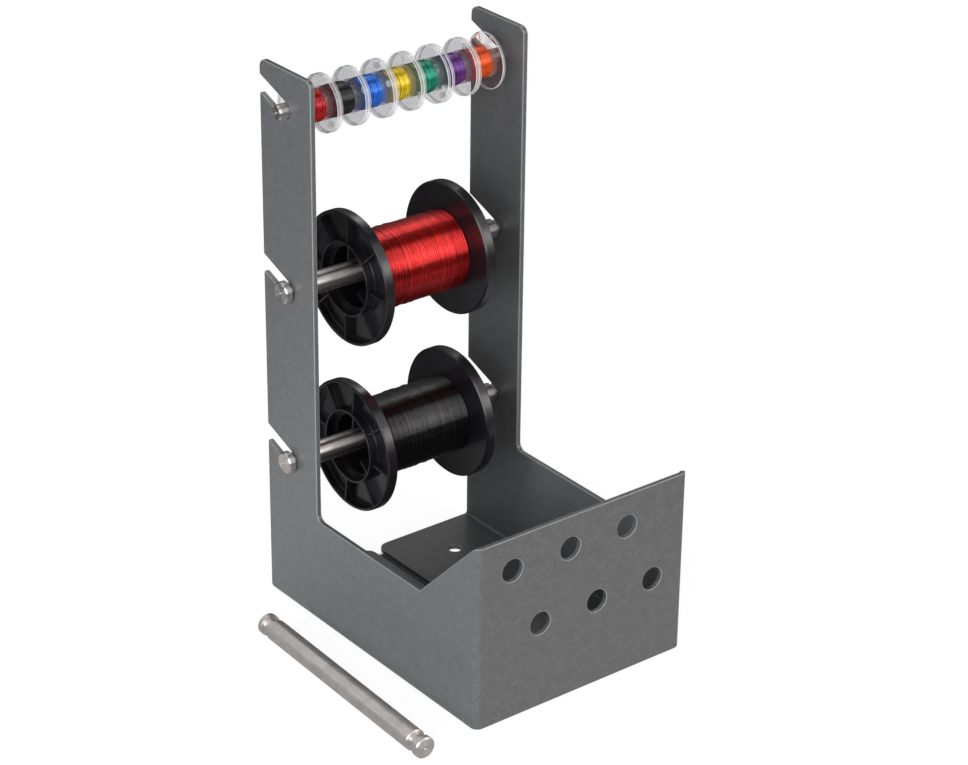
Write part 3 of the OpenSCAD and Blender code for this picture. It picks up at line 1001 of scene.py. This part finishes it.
def length(tree, vector):
    """The length of a vector."""
    return add(tree, "VectorMath", {"operation": "LENGTH"}, _0=vector).outputs["Value"]


def noise(tree, place, scale, detail, roughness):
    """Cloudy noise."""
    node = add(tree, "TexNoise", Vector=place, Scale=scale, Detail=detail, Roughness=roughness)
    return node.outputs["Fac"]


def line_noise(tree, place, scale, detail):
    """Noise that changes along one line only."""
    node = add(tree, "TexNoise", {"noise_dimensions": "1D"}, W=place, Scale=scale, Detail=detail)
    return node.outputs["Fac"]


def ramp(tree, factor, stops):
    """A colour ramp through stops (place, colour)."""
    node = add(tree, "ValToRGB", Fac=factor)
    band = node.color_ramp
    while len(band.elements) < len(stops):
        band.elements.new(0.5)
    for element, (place, colour) in zip(band.elements, stops):
        element.position = place
        element.color = (*colour, 1)
    return node.outputs["Color"]


def map_range(tree, value, low, high, to_low, to_high):
    """The value, with low to high taken to to_low to to_high."""
    node = add(tree, "MapRange", _0=value, _1=low, _2=high, _3=to_low, _4=to_high)
    return node.outputs["Result"]


def blend(tree, share, first, second):
    """A colour between two others."""
    node = add(tree, "Mix", {"data_type": "RGBA"}, _0=share, _6=first, _7=second)
    return node.outputs[2]


def mixed(tree, share, first, second):
    """A surface between two others."""
    return add(tree, "MixShader", _0=share, _1=first, _2=second).outputs[0]


def object_place(tree):
    """Place in the piece's own frame, in metres."""
    return add(tree, "TexCoord").outputs["Object"]


def off_axis(tree, place):
    """The place with its part along X left out."""
    parts = add(tree, "SeparateXYZ", Vector=place).outputs
    return add(tree, "CombineXYZ", Y=parts["Y"], Z=parts["Z"]).outputs[0]


def principled(tree, **inputs):
    """The material's surface."""
    surface = add(tree, "BsdfPrincipled", **inputs)
    add(tree, "OutputMaterial", Surface=surface.outputs[0])


def powder_coat():
    """Grey powder coat: a fine pebbled skin with a little metallic speckle, and a painted
    highlight that makes it lighter along the sheet's rounded edges."""
    material, tree = tree_of("powder_coat")
    place = object_place(tree)
    speckle = noise(tree, place, scale=2600, detail=1.5, roughness=0.6)
    mottle = noise(tree, place, scale=260, detail=3, roughness=0.55)
    both = calc(tree, "MULTIPLY_ADD", mottle, 0.3, speckle)
    # Painted highlight along the rounded edges, from the share kept on the sheet
    painted_edge_share = add(tree, "Attribute", {"attribute_name": "painted_edge_highlight"}).outputs["Fac"]
    colour = blend(tree, painted_edge_share, ramp(tree, both, COAT_SHADES), PAINTED_EDGE_HIGHLIGHT_COLOUR)
    rough = map_range(tree, speckle, low=0.3, high=0.7, to_low=0.3, to_high=0.44)
    pebbles = noise(tree, place, scale=1500, detail=2, roughness=0.5)
    bump = add(tree, "Bump", Strength=0.2, Distance=0.00012, Height=pebbles)
    principled(
        tree,
        Base_Color=colour,
        Roughness=rough,
        IOR=1.5,
        Coat_Weight=0.3,
        Coat_Roughness=0.2,
        Normal=bump.outputs["Normal"],
    )
    return material


def turned_steel():
    """Bright steel with the fine rings that turning leaves, on the barrel and on the end faces."""
    material, tree = tree_of("turned_steel")
    place = object_place(tree)
    parts = add(tree, "SeparateXYZ", Vector=place).outputs
    along = calc(tree, "ADD", parts["X"], length(tree, off_axis(tree, place)))
    rings = line_noise(tree, along, scale=5200, detail=3)
    stains = noise(tree, place, scale=180, detail=4, roughness=0.6)
    colour = ramp(tree, stains, STEEL_SHADES)
    rough = map_range(tree, rings, low=0.25, high=0.75, to_low=0.3, to_high=0.44)
    bump = add(tree, "Bump", Strength=0.35, Distance=0.00004, Height=rings)
    round_about = add(tree, "Tangent", {"direction_type": "RADIAL", "axis": "X"})
    principled(
        tree,
        Base_Color=colour,
        Roughness=rough,
        Metallic=1.0,
        Anisotropic=0.85,
        Anisotropic_Rotation=0.25,
        Tangent=round_about.outputs[0],
        Normal=bump.outputs["Normal"],
    )
    return material


def moulded_black():
    """Black moulded plastic, semi-gloss, with faint flow and dust."""
    material, tree = tree_of("moulded_black")
    place = object_place(tree)
    flow = noise(tree, place, scale=90, detail=4, roughness=0.6)
    dust = noise(tree, place, scale=2200, detail=2, roughness=0.6)
    colour = ramp(tree, dust, BLACK_SHADES)
    rough = map_range(tree, flow, low=0.3, high=0.7, to_low=0.2, to_high=0.28)
    bump = add(tree, "Bump", Strength=0.06, Distance=0.00008, Height=dust)
    principled(
        tree, Base_Color=colour, Roughness=rough, IOR=1.6, Normal=bump.outputs["Normal"]
    )
    return material


def clear_plastic(name, painted_refraction_tint):
    """Clear polystyrene: it lets light straight through and reflects as plastic does, with painted
    highlights on its flange rims and round its thread holes, and a painted refraction of the
    wire's colour in its hub."""
    material, tree = tree_of(name)
    flat = off_axis(tree, object_place(tree))
    reach = length(tree, flat)
    clear = add(tree, "BsdfTransparent", Color=(0.9, 0.9, 0.905, 1))
    # Painted refraction: the wire's colour laid in the hub, inside the winding's radius
    painted_wire_tint = add(tree, "BsdfDiffuse", Color=(*painted_refraction_tint, 1))
    hub_end = BOBBIN_WINDING_R * MM
    painted_tint_share = map_range(
        tree, reach, low=hub_end, high=hub_end + 0.4 * MM, to_low=0.34, to_high=0.02
    )
    with_painted_tint = mixed(tree, painted_tint_share, clear.outputs[0], painted_wire_tint.outputs[0])
    gloss = add(tree, "BsdfAnisotropic", Color=WHITE, Roughness=0.08)
    grazing = add(tree, "LayerWeight", Blend=0.5)
    steep = calc(tree, "POWER", grazing.outputs["Facing"], 4.0)
    gloss_share = map_range(tree, steep, low=0.0, high=1.0, to_low=0.02, to_high=0.9)
    sheen = mixed(tree, gloss_share, with_painted_tint, gloss.outputs[0])
    # Painted highlight: a pale band on the outer edge of each flange rim
    rim_start, rim_end = (BOBBIN_R - 0.4) * MM, BOBBIN_R * MM
    painted_edge_share = map_range(tree, reach, low=rim_start, high=rim_end, to_low=0.0, to_high=1.0)
    painted_rim_highlight = ramp(tree, painted_edge_share, [(place, (level,) * 3) for place, level in PAINTED_RIM_HIGHLIGHT_LEVELS])
    # Painted highlight: a pale ring round each thread hole
    hole_place = (0, THREAD_HOLE_PLACE_R * MM, 0)
    from_hole = add(tree, "VectorMath", {"operation": "DISTANCE"}, _0=flat, _1=hole_place)
    ring_start, ring_end = THREAD_HOLE_R * MM, (THREAD_HOLE_R + 0.35) * MM
    painted_hole_highlight = map_range(
        tree, from_hole.outputs["Value"], low=ring_start, high=ring_end, to_low=0.6, to_high=0.0
    )
    # Pale surface that carries the painted highlights
    painted_highlight_surface = add(tree, "BsdfDiffuse", Color=(0.95, 0.95, 0.96, 1))
    with_painted_highlights = mixed(tree, calc(tree, "MAXIMUM", painted_rim_highlight, painted_hole_highlight), sheen, painted_highlight_surface.outputs[0])
    add(tree, "OutputMaterial", Surface=with_painted_highlights)
    return material


def enamelled_wire(name, shade, bright, streak_scale, metal):
    """Enamelled copper wire: coloured metal under a clear coat, uneven from turn to turn."""
    material, tree = tree_of(name)
    place = object_place(tree)
    parts = add(tree, "SeparateXYZ", Vector=place).outputs
    streaks = line_noise(tree, parts["X"], scale=streak_scale, detail=4)
    patches = noise(tree, place, scale=streak_scale * 0.2, detail=2, roughness=0.5)
    both = calc(tree, "MULTIPLY_ADD", patches, 0.2, streaks)
    colour = ramp(tree, both, [(0.48, shade), (0.62, bright)])
    rough = map_range(tree, patches, low=0.3, high=0.7, to_low=0.15, to_high=0.23)
    principled(
        tree,
        Base_Color=colour,
        Roughness=rough,
        Metallic=metal,
        Coat_Weight=0.5,
        Coat_Roughness=0.15,
    )
    return material


# Studio


def make_camera():
    """The photograph's camera."""
    azimuth, elevation = math.radians(CAMERA_AZIMUTH), math.radians(CAMERA_ELEVATION)
    roll = math.radians(CAMERA_ROLL)
    back = Vector(
        (
            math.sin(azimuth) * math.cos(elevation),
            -math.cos(azimuth) * math.cos(elevation),
            math.sin(elevation),
        )
    )
    level = Vector((0, 0, 1)).cross(back).normalized()
    upright = back.cross(level)
    right = level * math.cos(roll) + upright * math.sin(roll)
    up = upright * math.cos(roll) - level * math.sin(roll)
    data = bpy.data.cameras.new("camera")
    data.lens = CAMERA_LENS
    data.sensor_width = CAMERA_SENSOR
    data.clip_start = CAMERA_NEAR
    data.clip_end = CAMERA_FAR
    camera = bpy.data.objects.new("camera", data)
    axes = Matrix((right, up, back)).transposed().to_4x4()
    camera.matrix_world = Matrix.Translation(CAMERA_PLACE) @ axes
    bpy.context.scene.collection.objects.link(camera)
    bpy.context.scene.camera = camera


def lamp(name, place, target, width, height, power, colour, glossy):
    """A rectangular lamp that points from its place to a target."""
    data = bpy.data.lights.new(name, "AREA")
    data.shape = "RECTANGLE"
    data.size = width
    data.size_y = height
    data.energy = power
    data.color = colour
    made = bpy.data.objects.new(name, data)
    made.location = place
    aim = Vector(target) - Vector(place)
    made.rotation_euler = aim.to_track_quat("-Z", "Y").to_euler()
    made.visible_glossy = glossy
    bpy.context.scene.collection.objects.link(made)


def make_world():
    """Plain even light, with a white background for what the camera, metal and glass see.
    Overhead, metal sees the dark gap between the front and back screens of the light tent."""
    world = bpy.data.worlds.new("studio")
    world.use_nodes = True
    tree = world.node_tree
    tree.nodes.clear()
    ray = add(tree, "LightPath").outputs
    direction = add(tree, "SeparateXYZ", Vector=add(tree, "TexCoord").outputs["Generated"]).outputs
    angle = calc(tree, "ARCTAN2", direction["Z"], calc(tree, "MULTIPLY", direction["Y"], -1.0))
    height = map_range(tree, angle, low=-math.pi, high=math.pi, to_low=0.0, to_high=1.0)
    tent = ramp(tree, height, [(0.5 + degrees / 360, (level,) * 3) for degrees, level in TENT])
    lit = blend(tree, ray["Is Glossy Ray"], (AMBIENT, AMBIENT, AMBIENT, 1), tent)
    seen = calc(tree, "MAXIMUM", ray["Is Camera Ray"], ray["Is Transmission Ray"])
    background = add(tree, "Background", Color=blend(tree, seen, lit, WHITE), Strength=1.0)
    add(tree, "OutputWorld", Surface=background.outputs[0])
    bpy.context.scene.world = world


def outside_painted_gap_shadow(tree, parts):
    """Mask of the painted shadow: 0 in the narrow gap between the stand's floor flanges, where
    the floor is painted dark, 1 everywhere else.
    """
    gap_side = (FLOOR_GAP / 2 + 2 * EDGE_R) * MM
    gap_end = (BACK_Y - FLOOR_CORNER_R) * MM
    aside = calc(tree, "ABSOLUTE", parts["X"])
    lengthways = calc(tree, "ABSOLUTE", parts["Y"])
    beside_painted_shadow = map_range(tree, aside, gap_side, gap_side + PAINTED_GAP_SHADOW_SIDE_FADE, 0.0, 1.0)
    beyond_painted_shadow = map_range(tree, lengthways, gap_end, gap_end + PAINTED_GAP_SHADOW_END_FADE, 0.0, 1.0)
    return calc(tree, "MAXIMUM", beside_painted_shadow, beyond_painted_shadow)


def table_level(tree, place, parts):
    """How bright metal and plastic see the floor: grey near the stand and darker far off, with a
    bright patch that the axles' heads see, and a dark one for the right side panel."""
    reach = length(tree, place)
    level = map_range(tree, reach, *GLOSS_REACH, FLOOR_GLOSS_NEAR, FLOOR_GLOSS_FAR)
    aslant = calc(tree, "MULTIPLY_ADD", parts["Y"], SLANT, parts["X"])
    glare = map_range(tree, reach, *GLARE_REACH, GLARE, 0.0)
    glare = map_range(tree, aslant, *GLARE_ASIDE, glare, 0.0)
    glare = map_range(tree, parts["Y"], *GLARE_BACK, 0.0, glare)
    shade = map_range(tree, aslant, *SHADE_ASIDE, 1.0, BACK_SHADE)
    shade = map_range(tree, parts["Y"], *SHADE_BACK, 1.0, shade)
    return calc(tree, "MULTIPLY_ADD", level, shade, glare)


def floor_material():
    """White to the camera, with a share of the real shading for the shadow and a painted shadow in
    the gap between the floor flanges; metal and plastic see it as a grey table."""
    material, tree = tree_of("floor")
    ray = add(tree, "LightPath").outputs
    place = object_place(tree)
    parts = add(tree, "SeparateXYZ", Vector=place).outputs
    # Mask of the painted shadow in the gap between the floor flanges
    outside_painted_shadow = outside_painted_gap_shadow(tree, parts)
    paint = add(tree, "BsdfDiffuse", Color=FLOOR_PAINT)
    glow_with_painted_shadow = map_range(tree, outside_painted_shadow, 0.0, 1.0, PAINTED_GAP_SHADOW_GLOW, FLOOR_GLOW)
    glow = add(tree, "Emission", Color=WHITE, Strength=glow_with_painted_shadow)
    seen = calc(tree, "MAXIMUM", ray["Is Camera Ray"], ray["Is Transmission Ray"])
    seen_share_with_painted_shadow = map_range(tree, outside_painted_shadow, 0.0, 1.0, PAINTED_GAP_SHADOW_SHARE, 1 - FLOOR_SHADOW_SHARE)
    share = map_range(tree, seen, 0.0, 1.0, FLOOR_BOUNCE_SHARE, seen_share_with_painted_shadow)
    lit = mixed(tree, share, paint.outputs[0], glow.outputs[0])
    # The painted gap shadow also darkens what metal and plastic see of the floor
    level = calc(tree, "MULTIPLY", table_level(tree, place, parts), outside_painted_shadow)
    table = add(tree, "Emission", Color=WHITE, Strength=level)
    final = mixed(tree, ray["Is Glossy Ray"], lit, table.outputs[0])
    add(tree, "OutputMaterial", Surface=final)
    return material


def make_floor():
    """The floor under the stand."""
    half = FLOOR_SIZE / 2
    mesh = bpy.data.meshes.new("floor")
    sides = [(-half, -half), (half, -half), (half, half), (-half, half)]
    mesh.from_pydata([(x, y, -FLOOR_DROP) for x, y in sides], [], [(0, 1, 2, 3)])
    mesh.materials.append(floor_material())
    floor = bpy.data.objects.new("floor", mesh)
    bpy.context.scene.collection.objects.link(floor)


def make_studio():
    """World, floor and lamps."""
    make_world()
    make_floor()
    for row in LAMPS:
        lamp(*row)
    bpy.context.scene.view_settings.view_transform = "Standard"


def build():
    """Every piece of the stand, with its material."""
    rng = random.Random(WIRE_SEED)
    steel = turned_steel()
    black = moulded_black()
    folded_sheet(powder_coat())
    axle("lower_axle", True, steel)
    axle("upper_axle", True, steel)
    axle("top_axle", False, steel)
    spare_axle(steel)
    solid = spool_solid()
    spool("black", solid, black)
    spool("red", solid, black)
    for name, shade, bright in SPOOL_WIRES:
        spool_wire(name, enamelled_wire(name + "_wire", shade, bright, **SPOOL_WIRE_LOOK), rng)
    clear_solid = bobbin_solid()
    for number, (name, shade, bright) in enumerate(BOBBIN_WIRES, 1):
        # Colour of the painted refraction of the wire in the bobbin's hub
        painted_refraction_tint = [PAINTED_REFRACTION_BASE * (1 - PAINTED_REFRACTION_WIRE_SHARE) + level * PAINTED_REFRACTION_WIRE_SHARE for level in bright]
        bobbin(number, clear_solid, clear_plastic(f"clear_plastic_{number}", painted_refraction_tint))
        wire = enamelled_wire(name + "_wire", shade, bright, **BOBBIN_WIRE_LOOK)
        bobbin_wire(number, name, wire, rng)


make_camera()
make_studio()
build()
